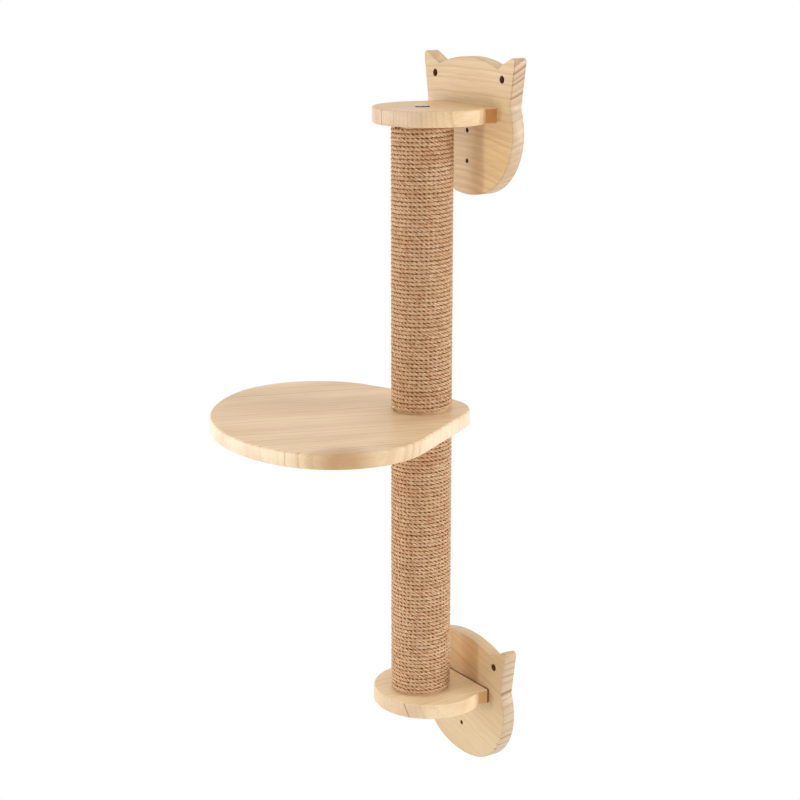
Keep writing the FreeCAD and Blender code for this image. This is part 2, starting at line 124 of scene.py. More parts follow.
class Recipe:
    """A material being mixed: short ways to add its nodes and join them."""

    def __init__(self, name: str, tree: Optional[bpy.types.NodeTree] = None) -> None:
        """Starts an empty material, or empties a node tree that is there.

        Args:
            name: what a new material is called.
            tree: the tree to work in, where it isn't a new material's.
        """
        self.material = None
        if tree is None:
            self.material = bpy.data.materials.new(name)
            self.material.use_nodes = True
            tree = self.material.node_tree
        self.tree = tree
        self.tree.nodes.clear()

    def node(self, kind: str, inputs: Optional[dict[Any, Any]] = None, **settings: Any) -> Any:
        """Adds a node.

        Args:
            kind: the node's type, without its common prefix.
            inputs: what goes into each of its sockets, a plain value or another socket.
            **settings: the node's own options.

        Returns:
            The new node.
        """
        made = self.tree.nodes.new("ShaderNode" + kind)
        for name, value in settings.items():
            setattr(made, name, value)
        for key, value in (inputs or {}).items():
            if isinstance(value, bpy.types.NodeSocket):
                self.tree.links.new(value, made.inputs[key])
            else:
                made.inputs[key].default_value = value
        return made

    def sum_up(self, operation: str, first: Any, second: Any = 0.0) -> Socket:
        """Does a sum, by its name in the Math node, on one or two numbers or sockets."""
        return self.node("Math", {0: first, 1: second}, operation=operation).outputs[0]

    def plus(self, first: Any, second: Any) -> Socket:
        """Adds two numbers or sockets."""
        return self.sum_up("ADD", first, second)

    def minus(self, first: Any, second: Any) -> Socket:
        """Takes the second number or socket from the first."""
        return self.sum_up("SUBTRACT", first, second)

    def times(self, first: Any, second: Any) -> Socket:
        """Multiplies two numbers or sockets."""
        return self.sum_up("MULTIPLY", first, second)

    def scale(self, colour: Socket, size: Socket) -> Socket:
        """Makes a colour brighter or darker by a factor."""
        return self.node("VectorMath", {0: colour, "Scale": size}, operation="SCALE").outputs[0]

    def share(self, value: Any, low: float, high: float, bottom: float = 0.0,
              top: float = 1.0) -> Socket:
        """Turns a number from low to high into a smooth share from bottom to top."""
        ends = {"Value": value, "From Min": low, "From Max": high, "To Min": bottom, "To Max": top}
        return self.node("MapRange", ends, interpolation_type="SMOOTHSTEP").outputs[0]

    def noise(self, where: Socket, scale: float, detail: float = 2.0, rough: float = 0.5) -> Socket:
        """Soft cloudy noise, about 0 to 1, with its waves per unit of place and finer layers."""
        return self.node("TexNoise", {"Vector": where, "Scale": scale, "Detail": detail,
                                      "Roughness": rough}).outputs["Fac"]

    def stretched(self, texture: Texture, parts: Sequence[Any], shift: float = 0.0) -> Socket:
        """Soft cloudy noise that is finer one way than another.

        Args:
            texture: the noise.
            parts: the place that it is read at, as three numbers or sockets.
            shift: how far along the third one it starts.

        Returns:
            The socket of its height, about 0 to 1.
        """
        spread = [self.times(part, fine) for part, fine in zip(parts, texture.fineness)]
        if shift:
            spread[2] = self.plus(spread[2], shift)
        return self.noise(self.place(*spread), 1.0, texture.detail, texture.rough)

    def place(self, x: Any, y: Any, z: Any) -> Socket:
        """Puts three numbers or sockets together as a place."""
        return self.node("CombineXYZ", {0: x, 1: y, 2: z}).outputs[0]

    def along(self, where: Socket, axis: Place) -> Socket:
        """How far a place or a direction lies along an axis."""
        made = self.node("VectorMath", {0: where, 1: axis}, operation="DOT_PRODUCT")
        return made.outputs["Value"]

    def away(self, where: Socket, centre: Place) -> Socket:
        """Distance of a place from a point."""
        made = self.node("VectorMath", {0: where, 1: centre}, operation="DISTANCE")
        return made.outputs["Value"]

    def blend(self, factor: Any, first: Any, second: Any) -> Socket:
        """Mixes two colours.

        Args:
            factor: how much of the second one.
            first: a colour or socket.
            second: a colour or socket.

        Returns:
            The socket of the mixed colour.
        """
        made = self.node("Mix", data_type="RGBA")
        for index, value in ((0, factor), (6, first), (7, second)):
            if isinstance(value, bpy.types.NodeSocket):
                self.tree.links.new(value, made.inputs[index])
            elif index:
                made.inputs[index].default_value = (*value, 1.0)
            else:
                made.inputs[index].default_value = value
        return made.outputs[2]

    def bump(self, height: Socket, depth: float, strength: float) -> Socket:
        """Turns a height of 0 to 1 into a bumpy surface that deep, in metres."""
        made = self.node("Bump", {"Height": height, "Distance": depth, "Strength": strength})
        return made.outputs[0]

    def finish(self, inputs: dict[str, Any]) -> bpy.types.Material:
        """Ends the material in one surface.

        Args:
            inputs: what goes into the surface shader's sockets.

        Returns:
            The finished material.
        """
        shader = self.node("BsdfPrincipled", inputs)
        output = self.node("OutputMaterial")
        self.tree.links.new(shader.outputs[0], output.inputs[0])
        return self.material


class GrainRun(Enum):
    """Which way the fibres of a board run, across it and through it."""

    ALONG_WALL = (TO_RIGHT, UP, TO_ROOM)
    SLOPING_ALONG_WALL = ((0.9703, 0.0, -0.2419), (0.2419, 0.0, 0.9703), TO_ROOM)
    OUT_FROM_WALL = (TO_WALL, TO_RIGHT, UP)
    ALONG_PLATFORM = ((0.3173, 0.9483, 0.0), (0.9483, -0.3173, 0.0), UP)
    UP_THE_POST = (UP, TO_RIGHT, TO_WALL)


@dataclass(frozen=True)
class Knot:
    """A small pin knot, where a twig once grew."""

    centre: Place
    radius: float = 1.3 * MM


@dataclass(frozen=True)
class Swell:
    """A branch hidden below the surface, which pushes the growth rings aside."""

    centre: Place
    radius: float
    push: float


@dataclass(frozen=True)
class Patch:
    """A soft patch of another colour: real tones, where a ring lies flat in the surface and where
    the wood yellows, and also painted light and painted shade laid on one face.

    With facing given, it lies only on the face that looks that way.
    """

    centre: Place
    radius: float
    strength: float = 0.6
    colour: Colour = linear(186, 138, 90)
    facing: Place = (0.0, 0.0, 0.0)


@dataclass(frozen=True)
class Streak:
    """A dark line along the fibres that shows where they end: a resin streak or a glued joint."""

    across: float
    width: float = 0.6 * MM
    lean: float = 0.0
    strength: float = 0.8


@dataclass(frozen=True)
class Hole:
    """A hole drilled through a board, square to the wall."""

    x: float
    z: float
    radius: float


@dataclass(frozen=True)
class BoardSpot:
    """A spot on a board's surface, as its material sees it.

    The distances inside run along the fibres, across the board's face and through the board,
    and end_share is how far the fibres end in the surface.
    """

    recipe: Recipe
    where: Socket
    facing: Socket
    inside: tuple[Socket, ...]
    end_share: Socket


@dataclass(frozen=True)
class PineFinish:
    """Sanded and lacquered pine board, with the growth rings of one tree running through it.

    The middle of the tree lies pith_across beside and pith_below under the frame's origin.
    The rings on end grain are bold above the height bold_above and calmer below it.
    """

    name: str
    run: GrainRun
    pith_across: float
    pith_below: float
    seed: float = 0.0
    early_wood: Colour = linear(236, 208, 168)
    late_wood: Colour = linear(192, 144, 92)
    end_wood: Colour = linear(232, 206, 176)
    end_ring: Colour = linear(146, 98, 66)
    ring_width: float = 7.0 * MM
    waver: float = 9.0 * MM
    face_contrast: float = 0.34
    end_contrast: float = 0.45
    late_start: float = 0.35
    late_full: float = 0.92
    late_over: float = 0.94
    ring_drift: Texture = Texture((7.0, 11.0, 11.0), 1.0)
    ring_crowding: Texture = Texture((60.0, 1.0, 1.0))
    rings_crowded: float = 2.4
    ring_tones: Fade = (0.0, 1.0, 0.35, 1.0)
    end_grain: Fade = (0.45, 0.85)
    bold_above: float = -10.0
    bold_fade: float = 10.0 * MM
    calm_share: float = 0.4
    broad_tone: Texture = Texture((6.0, 22.0, 22.0))
    broad_fade: Fade = (0.35, 0.75, 0.0, 0.25)
    fibres: Texture = Texture((26.0, 700.0, 700.0), 3.0, 0.6)
    fibre_tones: Fade = (0.3, 0.7, 0.92, 1.05)
    pore_fineness: float = 1400.0
    fibre_relief: float = 0.6
    ring_relief: float = -0.5
    pore_relief: float = 0.25
    relief_depth: float = 0.12 * MM
    relief_strength: float = 0.5
    polish: Fade = (0.2, 0.8, 0.41, 0.54)
    lacquer: float = 0.12
    lacquer_roughness: float = 0.3
    patch_core: float = 0.2
    square_on: Fade = (0.97, 0.995)
    streak_edge: Fade = (0.5, 2.0)
    knot_edge: Fade = (0.5, 1.5)
    knot_colour: Colour = linear(104, 66, 38)
    knot_strength: float = 0.85
    # Painted shade inside the drilled holes, over the darker end grain of their walls.
    hole_grain_and_shade: Colour = linear(112, 62, 36)
    hole_strength: float = 0.92
    hole_edge: float = 0.5 * MM
    # Painted shade along the joint where a shelf meets the plate, over the joint's thin dark line.
    joint_shade_colour: Colour = linear(120, 72, 38)
    joint_shade_strength: float = 0.95
    joint_shade_core: float = 0.7
    joint_shade_width: float = 0.0
    knots: tuple[Knot, ...] = ()
    swells: tuple[Swell, ...] = ()
    # painted_light: paler patches of painted light on the plates' fronts, where they stand in
    # shade.
    painted_light: tuple[Patch, ...] = ()
    # tone_and_shade_patches: real tone patches, and painted shade on the shelves' cheeks beside the
    # plate.
    tone_and_shade_patches: tuple[Patch, ...] = ()
    streaks: tuple[Streak, ...] = ()
    holes: tuple[Hole, ...] = ()

    def mix(self) -> bpy.types.Material:
        """Mixes the material.

        Returns:
            The finished material.
        """
        recipe = Recipe(self.name)
        found = recipe.node("TexCoord")
        where, facing = found.outputs["Object"], found.outputs["Normal"]
        inside = tuple(recipe.along(where, way) for way in self.run.value)
        end_face = recipe.sum_up("ABSOLUTE", recipe.along(facing, self.run.value[0]))
        end_share = recipe.share(end_face, *self.end_grain)
        spot = BoardSpot(recipe, where, facing, inside, end_share)

        ring_share = self._rings(spot)
        early = recipe.blend(end_share, self.early_wood, self.end_wood)
        # Painted light: paler patches laid on the early wood where the plates stand in shade.
        for tone in self.painted_light:
            early = self._tint(spot, early, tone)
        dark = recipe.blend(end_share, self.late_wood, self.end_ring)
        colour = recipe.blend(ring_share, early, dark)

        broad = recipe.stretched(self.broad_tone, inside, self.seed)
        colour = recipe.blend(recipe.share(broad, *self.broad_fade), colour, self.late_wood)
        fibres = recipe.stretched(self.fibres, inside)
        colour = recipe.scale(colour, recipe.share(fibres, *self.fibre_tones))
        colour = self._marks(spot, colour)

        pores = recipe.noise(where, self.pore_fineness, 1.0)
        relief = recipe.plus(recipe.times(fibres, self.fibre_relief),
                             recipe.plus(recipe.times(ring_share, self.ring_relief),
                                         recipe.times(pores, self.pore_relief)))
        rough = recipe.share(fibres, *self.polish)
        bumps = recipe.bump(relief, self.relief_depth, self.relief_strength)
        return recipe.finish({"Base Color": colour, "Roughness": rough, "Normal": bumps,
                              "Coat Weight": self.lacquer,
                              "Coat Roughness": self.lacquer_roughness})

    def _rings(self, spot: BoardSpot) -> Socket:
        """Works out the growth rings at a spot.

        Args:
            spot: the spot.

        Returns:
            The share of dark late wood.
        """
        recipe = spot.recipe
        clouds = recipe.minus(recipe.stretched(self.ring_drift, spot.inside, self.seed), 0.5)
        drift = recipe.times(clouds, 2.0 * self.waver)
        for swell in self.swells:
            away = recipe.away(spot.where, swell.centre)
            drift = recipe.plus(drift, recipe.share(away, 0.0, swell.radius, swell.push, 0.0))
        side = recipe.plus(recipe.plus(spot.inside[1], self.pith_across), drift)
        below = recipe.plus(spot.inside[2], self.pith_below)
        reach = recipe.sum_up("SQRT", recipe.plus(recipe.times(side, side),
                                                  recipe.times(below, below)))
        crowding = recipe.stretched(self.ring_crowding, (reach, self.seed, 0.0))
        count = recipe.plus(recipe.sum_up("DIVIDE", reach, self.ring_width),
                            recipe.times(crowding, self.rings_crowded))
        part = recipe.sum_up("FRACT", count)
        late = recipe.times(recipe.share(part, self.late_start, self.late_full),
                            recipe.share(part, self.late_over, 1.0, 1.0, 0.0))
        number = recipe.sum_up("FLOOR", count)
        toss = recipe.node("TexWhiteNoise", {"W": number}, noise_dimensions="1D").outputs["Value"]
        bold = recipe.times(late, recipe.share(toss, *self.ring_tones))

        height = recipe.along(spot.where, UP)
        on_ends = recipe.share(height, self.bold_above, self.bold_above + self.bold_fade,
                               self.calm_share * self.end_contrast, self.end_contrast)
        on_faces = recipe.times(recipe.minus(1.0, spot.end_share), self.face_contrast)
        return recipe.times(bold, recipe.plus(recipe.times(spot.end_share, on_ends), on_faces))

    def _tint(self, spot: BoardSpot, colour: Socket, patch: Patch) -> Socket:
        """Lays one soft patch over a colour.

        Args:
            spot: the spot.
            colour: the colour below.
            patch: the patch.

        Returns:
            The colour with the patch on it.
        """
        recipe = spot.recipe
        away = recipe.away(spot.where, patch.centre)
        core = self.patch_core * patch.radius
        cover = recipe.share(away, core, patch.radius, patch.strength, 0.0)
        if any(patch.facing):
            square_on = recipe.share(recipe.along(spot.facing, patch.facing), *self.square_on)
            cover = recipe.times(cover, square_on)
        return recipe.blend(cover, colour, patch.colour)

    def _marks(self, spot: BoardSpot, colour: Socket) -> Socket:
        """Paints what lies over the rings: tone patches and painted shade patches, streaks, knots,
        painted shade in the drilled holes and painted shade along the shelf's joint with the plate.

        Args:
            spot: the spot.
            colour: the plain wood's colour.

        Returns:
            The marked colour.
        """
        recipe = spot.recipe
        # Tone patches; those on the shelves' cheeks are painted shade, where the plate shades the
        # cheek.
        for patch in self.tone_and_shade_patches:
            colour = self._tint(spot, colour, patch)
        for streak in self.streaks:
            line = recipe.plus(recipe.times(spot.inside[2], streak.lean), streak.across)
            off = recipe.sum_up("ABSOLUTE", recipe.minus(spot.inside[1], line))
            core, edge = (part * streak.width for part in self.streak_edge)
            cover = recipe.share(off, core, edge, streak.strength, 0.0)
            colour = recipe.blend(recipe.times(cover, spot.end_share), colour, self.end_ring)
        for knot in self.knots:
            away = recipe.away(spot.where, knot.centre)
            core, edge = (part * knot.radius for part in self.knot_edge)
            cover = recipe.share(away, core, edge, self.knot_strength, 0.0)
            colour = recipe.blend(cover, colour, self.knot_colour)
        on_wall = (1.0, 0.0, 1.0)
        flat = recipe.node("VectorMath", {0: spot.where, 1: on_wall}, operation="MULTIPLY")
        # Painted shade: the inside of each drilled hole is coloured dark, for the shade in the hole
        # and the end grain of its wall.
        for hole in self.holes:
            away = recipe.away(flat.outputs[0], (hole.x, 0.0, hole.z))
            edge = hole.radius + self.hole_edge
            cover = recipe.share(away, hole.radius, edge, self.hole_strength, 0.0)
            colour = recipe.blend(cover, colour, self.hole_grain_and_shade)
        # Painted shade: a dark band on the shelf along the plate's front, where the shelf meets the
        # plate.
        if self.joint_shade_width:
            off = recipe.minus(PLATE_FRONT, recipe.along(spot.where, TO_WALL))
            core = self.joint_shade_core * self.joint_shade_width
            cover = recipe.share(off, core, self.joint_shade_width, self.joint_shade_strength, 0.0)
            colour = recipe.blend(cover, colour, self.joint_shade_colour)
        return colour


@dataclass(frozen=True)
class JuteFinish:
    """Twisted natural jute: pale tan strands and fine fibres, with painted shade in the hollows
    between the strands and between the turns.

    Its textures run round the rope, then along it, in metres.
    """

    name: str = "jute rope"
    crest: Colour = linear(250, 236, 206)
    shade: Colour = linear(190, 132, 84)
    # Colour of the painted shade in the hollows between strands and turns.
    hollow_shade: Colour = linear(142, 78, 30)
    girth: float = 14.5 * MM
    strands: int = 3
    fibres: Texture = Texture((3600.0, 420.0, 1.0), 3.0, 0.65)
    fibre_fade: Fade = (0.36, 0.66, 1.0, 0.0)
    strand_tone: Texture = Texture((7.3, 22.0, 1.0))
    strand_fade: Fade = (0.35, 0.75, 0.0, 0.6)
    breaks: Texture = Texture((160.0, 150.0, 1.0), 1.0)
    break_fade: Fade = (0.36, 0.62, 0.5, 1.15)
    break_start: float = 5.0
    tone_start: float = 3.0
    hollow_shade_fade: Fade = (0.15, 0.95, 0.0, 0.95)
    roughness: float = 0.9
    gloss: float = 0.08
    fuzz: float = 0.04
    fuzz_roughness: float = 0.5
    fibre_depth: float = 0.35 * MM
    fibre_strength: float = 0.8

    def mix(self) -> bpy.types.Material:
        """Mixes the material.

        Returns:
            The finished material.
        """
        recipe = Recipe(self.name)
        lay = recipe.node("SeparateXYZ", {0: recipe.node("UVMap", uv_map="lay").outputs[0]})
        turn, run = lay.outputs[0], lay.outputs[1]
        round_way = recipe.times(turn, self.girth)
        # Painted shade in the rope's hollows, broken into dashes by the breaks noise.
        breaks = recipe.stretched(self.breaks, (round_way, run, self.break_start))
        sunk = recipe.node("Attribute", attribute_name="hollow_shade").outputs["Fac"]
        deep = recipe.times(sunk, recipe.share(breaks, *self.break_fade))
        fibres = recipe.stretched(self.fibres, (round_way, run, 0.0))
        strand = recipe.sum_up("FLOOR", recipe.times(turn, float(self.strands)))
        tone = recipe.stretched(self.strand_tone, (strand, run, self.tone_start))
        colour = recipe.blend(recipe.share(fibres, *self.fibre_fade), self.crest, self.shade)
        colour = recipe.blend(recipe.share(tone, *self.strand_fade), colour, self.shade)
        # Painted shade: the hollows take the darker colour.
        colour = recipe.blend(recipe.share(deep, *self.hollow_shade_fade), colour, self.hollow_shade)
        bumps = recipe.bump(fibres, self.fibre_depth, self.fibre_strength)
        return recipe.finish({"Base Color": colour, "Roughness": self.roughness, "Normal": bumps,
                              "Specular IOR Level": self.gloss, "Sheen Weight": self.fuzz,
                              "Sheen Roughness": self.fuzz_roughness})


@dataclass(frozen=True)
class MetalFinish:
    """Bare or blued steel, with the faint streaks that tools and handling leave.

    Its upright sides are painted darker than its flat faces, as painted shade: side_shade is
    how much of the colour is left there.
    """

    name: str
    colour: Colour
    roughness: float
    metallic: float = 1.0
    side_shade: float = 1.0
    side_fade: Fade = (0.3, 0.9)
    streaks: float = 900.0
    streak_detail: float = 3.0
    streak_rough: float = 0.6
    streak_fade: Fade = (0.25, 0.75)
    streak_roughness: float = 0.14
    streak_depth: float = 0.03 * MM
    streak_strength: float = 0.4
    stains: float = 120.0
    stain_fade: Fade = (0.4, 0.75)
    stain_shade: float = 0.72

    def mix(self) -> bpy.types.Material:
        """Mixes the material.

        Returns:
            The finished material.
        """
        recipe = Recipe(self.name)
        spot = recipe.node("TexCoord")
        where, facing = spot.outputs["Object"], spot.outputs["Normal"]
        streaks = recipe.noise(where, self.streaks, self.streak_detail, self.streak_rough)
        stains = recipe.noise(where, self.stains)
        dull = tuple(self.stain_shade * part for part in self.colour)
        colour = recipe.blend(recipe.share(stains, *self.stain_fade), self.colour, dull)
        # Painted shade: upright sides darker than flat faces.
        level = recipe.sum_up("ABSOLUTE", recipe.along(facing, UP))
        colour = recipe.scale(colour, recipe.share(level, *self.side_fade, self.side_shade, 1.0))
        rough = recipe.share(streaks, *self.streak_fade, self.roughness,
                             self.roughness + self.streak_roughness)
        bumps = recipe.bump(streaks, self.streak_depth, self.streak_strength)
        return recipe.finish({"Base Color": colour, "Metallic": self.metallic,
                              "Roughness": rough, "Normal": bumps})


# --------------------------------------------------------------------------- mesh helpers


def make_piece(name: str, points: np.ndarray,
               faces: Sequence[Sequence[int]]) -> bpy.types.Object:
    """Makes an object from points and faces, smooth except at edges sharper than CREASE.

    Args:
        name: the piece's name.
        points: its corners, one row each.
        faces: the corners of each face, by number.

    Returns:
        The new object, in the scene.
    """
    mesh = bpy.data.meshes.new(name)
    mesh.from_pydata([tuple(point) for point in points], [], [tuple(face) for face in faces])
    mesh.validate()
    mesh.shade_smooth()
    mesh.set_sharp_from_angle(angle=CREASE)
    return place_in_scene(name, mesh)


def place_in_scene(name: str, data: bpy.types.ID) -> bpy.types.Object:
    """Puts a mesh, lamp or camera in the scene.

    Args:
        name: the name of its object.
        data: the mesh, lamp or camera.

    Returns:
        The new object.
    """
    placed = bpy.data.objects.new(name, data)
    bpy.context.scene.collection.objects.link(placed)
    return placed


def dress(piece: bpy.types.Object, material: bpy.types.Material) -> None:
    """Gives a piece one material all over.

    Args:
        piece: the object.
        material: its material.
    """
    slots = piece.data.materials
    for index in range(len(slots)):
        slots[index] = material
    if not slots:
        slots.append(material)


def fit(piece: bpy.types.Object, material: bpy.types.Material,
        replaced: Sequence[str]) -> None:
    """Dresses a piece of the still frame and puts it in the place of its nodes.

    Args:
        piece: the new piece.
        material: its material.
        replaced: the nodes that it stands for.
    """
    dress(piece, material)
    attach(piece, "wall_frame")
    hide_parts(*replaced)


@dataclass(frozen=True)
class Ring:
    """One ring of a turned piece: its radius, how far along the axis it lies, and its form."""

    radius: float
    height: float
    six_sided: bool = False


@dataclass(frozen=True)
class Turned:
    """A piece turned about an axis from a row of rings, some of which may be hexagons."""

    rings: tuple[Ring, ...]
    sides: int = 48

    def _radius(self, ring: Ring, angle: float) -> float:
        """Distance from the axis to a ring at an angle.

        Args:
            ring: the ring.
            angle: the angle in radians.

        Returns:
            The distance.
        """
        if not ring.six_sided:
            return ring.radius
        sixth = math.pi / 3
        return ring.radius / math.cos((angle % sixth) - sixth / 2)

    def make(self, name: str, foot: Vector, direction: Vector) -> bpy.types.Object:
        """Makes the piece.

        Args:
            name: its name.
            foot: where height 0 lies.
            direction: which way its heights go.

        Returns:
            The new object.
        """
        turn = direction.to_track_quat("Z", "X").to_matrix()
        points = []
        for ring in self.rings:
            for side in range(self.sides):
                angle = 2 * math.pi * side / self.sides
                reach = self._radius(ring, angle)
                local = Vector((reach * math.cos(angle), reach * math.sin(angle), ring.height))
                points.append(foot + turn @ local)
        faces = []
        for level in range(len(self.rings) - 1):
            for side in range(self.sides):
                following = (side + 1) % self.sides
                low, high = level * self.sides, (level + 1) * self.sides
                faces.append((low + side, low + following, high + following, high + side))
        last = (len(self.rings) - 1) * self.sides
        faces.append(tuple(range(self.sides))[::-1])
        faces.append(tuple(range(last, last + self.sides)))
        return make_piece(name, np.array(points), faces)


# --------------------------------------------------------------------------- the pieces


@dataclass
class Boards:
    """The sawn pine boards: two wall plates, two shelves and the platform."""

    finishes: dict[str, PineFinish]
    rounding: float = 0.55 * MM
    rounding_steps: int = 2
    joined_within: float = 0.01 * MM
    sharper_than: float = math.radians(28)

    def round_edges(self, board: bpy.types.Object) -> None:
        """Softens a board's bevelled edges as sandpaper does.

        Args:
            board: the board.
        """
        weld = board.modifiers.new("join corners", "WELD")
        weld.merge_threshold = self.joined_within
        soften = board.modifiers.new("sanded edges", "BEVEL")
        soften.width = self.rounding
        soften.segments = self.rounding_steps
        soften.limit_method = "ANGLE"
        soften.angle_limit = self.sharper_than
        soften.harden_normals = True

    def build(self, nodes: dict[str, bpy.types.Object]) -> None:
        """Finishes every board.

        Args:
            nodes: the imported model's nodes by name.
        """
        for name, finish in self.finishes.items():
            board = nodes[name]
            dress(board, finish.mix())
            self.round_edges(board)
            LOG.info("board %s finished as %s", name, finish.name)


@dataclass(frozen=True)
class Wave:
    """A slow unevenness of the rope, as a wave along its run or round the post.

    It is shifted by so many times the winding's own phase, and by per_strand for each strand.
    """

    size: float
    rate: float
    phases: float = 0.0
    per_strand: float = 0.0

    def read(self, run: np.ndarray, phase: float, strand: Any = 0.0) -> np.ndarray:
        """Reads the wave.

        Args:
            run: where along the rope, or at what angle round the post.
            phase: the winding's own phase.
            strand: the strand's number.

        Returns:
            Its height at each place.
        """
        return self.size * np.sin(run * self.rate + self.per_strand * strand + self.phases * phase)


@dataclass
class RopeWinding:
    """Three-strand rope wound closely round one pole, nailed at its ends."""

    name: str
    bottom: float
    top: float
    axis: Vector
    outer_radius: float
    end_margin: float
    phase: float
    thickness: float = 4.6 * MM
    squashed_width: float = 5.4 * MM
    turns: float = 68.5
    start: float = math.pi
    strands: int = 3
    lay: float = 16.62 * MM
    points_per_strand: int = 4
    step: float = 1.5 * MM
    tail: float = 2.4 * MM
    valley: float = 0.62
    roundness: float = 0.6
    gap_starts: float = 0.6
    gap_shade: float = 0.62
    seam_shade: float = 0.55
    seam_sharpness: float = 1.3
    wander: float = 0.09 * MM
    wanders: tuple[Wave, ...] = (Wave(1.0, 0.37, 1.0), Wave(1.0, 1.31, 2.0), Wave(1.0, 2.77, 3.0))
    swells: tuple[Wave, ...] = (Wave(0.05, 310.0, 1.0, 2.1), Wave(0.04, 87.0, 0.0, 4.3))
    slack_twists: tuple[Wave, ...] = (Wave(0.5, 41.0, 1.0), Wave(0.35, 97.0))

    def _path(self) -> tuple[np.ndarray, np.ndarray, np.ndarray, np.ndarray]:
        """The rope's middle line from its lower end to its upper end.

        Returns:
            The places, the rope's direction, the direction out of the post, and the run.
        """
        radius = self.outer_radius - self.thickness / 2
        pitch = (self.top - self.bottom - 2 * self.end_margin) / self.turns
        length = self.turns * math.hypot(2 * math.pi * radius, pitch)
        count = int(length / self.step)
        run = np.linspace(-self.tail, length + self.tail, count)
        inside = np.clip(run, 0.0, length)
        turned = inside / length * 2 * math.pi * self.turns
        angle = self.start + turned
        beyond = run - inside
        wander = self.wander * sum(wave.read(angle, self.phase) for wave in self.wanders)
        out = np.stack([np.sin(angle), -np.cos(angle), np.zeros_like(angle)], axis=1)
        slope = pitch / (2 * math.pi * radius)
        tangent = np.stack([np.cos(angle), np.sin(angle), np.full_like(angle, slope)], axis=1)
        tangent /= np.linalg.norm(tangent, axis=1, keepdims=True)
        height = self.bottom + self.end_margin + pitch * turned / (2 * math.pi)
        places = np.array([self.axis.x, self.axis.y, 0.0]) + out * radius
        places[:, 2] += height + wander
        places += tangent * beyond[:, None]
        return places, tangent, out, run

    def build(self) -> bpy.types.Object:
        """Makes the winding as one unbroken rope.

        Returns:
            The rope.
        """
        places, tangent, out, run = self._path()
        upward = np.cross(out, tangent)
        upward *= np.sign(upward[:, 2:3])
        around = self.strands * self.points_per_strand
        index = np.arange(around)
        own = (index % self.points_per_strand) / self.points_per_strand
        rise = np.abs(np.sin(math.pi * own))
        lobe = rise ** self.roundness
        spread = 2 * math.pi * index / around
        strand = (index // self.points_per_strand)[None, :]
        along = run[:, None]
        swell = 1.0 + sum(wave.read(along, self.phase, strand) for wave in self.swells)
        shape = (self.valley + (1 - self.valley) * lobe)[None, :] * swell
        slack = sum(wave.read(along, self.phase) for wave in self.slack_twists)
        twist = spread[None, :] - 2 * math.pi * along / self.lay + self.phase + slack
        outward_part = 0.5 * self.thickness * shape * np.cos(twist)
        upward_part = 0.5 * self.squashed_width * shape * np.sin(twist)
        points = (places[:, None, :] + outward_part[..., None] * out[:, None, :]
                  + upward_part[..., None] * upward[:, None, :])
        outward_share = outward_part / (0.5 * self.thickness)
        # Painted shade: corners sunk into the gap between turns and into the valleys between
        # strands get a darker colour.
        sunk = np.clip((self.gap_starts - outward_share) / self.gap_starts, 0.0, 1.0)
        seam = (1.0 - rise ** self.seam_sharpness)[None, :]
        hollow_shade = np.clip(self.gap_shade * sunk * (1.0 + seam) + self.seam_shade * seam, 0.0, 1.0)
        return self._mesh(points.reshape(-1, 3), hollow_shade.ravel(), run, around)

    def _mesh(self, points: np.ndarray, hollow_shade: np.ndarray, run: np.ndarray,
              around: int) -> bpy.types.Object:
        """Joins the rope's rings into a tube with closed ends.

        Args:
            points: the corners, ring after ring.
            hollow_shade: how deep between the strands and turns each corner lies, 0 to 1, which
                sets the painted shade there.
            run: the distance along the rope of each ring.
            around: corners per ring.

        Returns:
            The rope.
        """
        rings = len(run)
        ring, side = np.meshgrid(np.arange(rings - 1), np.arange(around), indexing="ij")
        following = (side + 1) % around
        here, beyond = ring * around, (ring + 1) * around
        quads = np.stack([here + side, here + following, beyond + following, beyond + side], -1)
        faces = [tuple(quad) for quad in quads.reshape(-1, 4).tolist()]
        mesh = bpy.data.meshes.new(self.name)
        ends = [tuple(range(around))[::-1], tuple(range((rings - 1) * around, rings * around))]
        mesh.from_pydata(points.tolist(), [], faces + ends)
        mesh.shade_smooth()
        depth = mesh.attributes.new("hollow_shade", "FLOAT", "POINT")
        depth.data.foreach_set("value", hollow_shade.astype(np.float32))
        lay = mesh.uv_layers.new(name="lay")
        round_way = np.stack([side, side + 1, side + 1, side], axis=-1).reshape(-1) / around
        near, far = run[ring], run[ring + 1]
        run_way = np.stack([near, near, far, far], axis=-1).reshape(-1)
        pairs = np.zeros((len(mesh.loops), 2), np.float32)
        pairs[:len(round_way), 0] = round_way
        pairs[:len(run_way), 1] = run_way
        lay.data.foreach_set("uv", pairs.ravel())
        return place_in_scene(self.name, mesh)


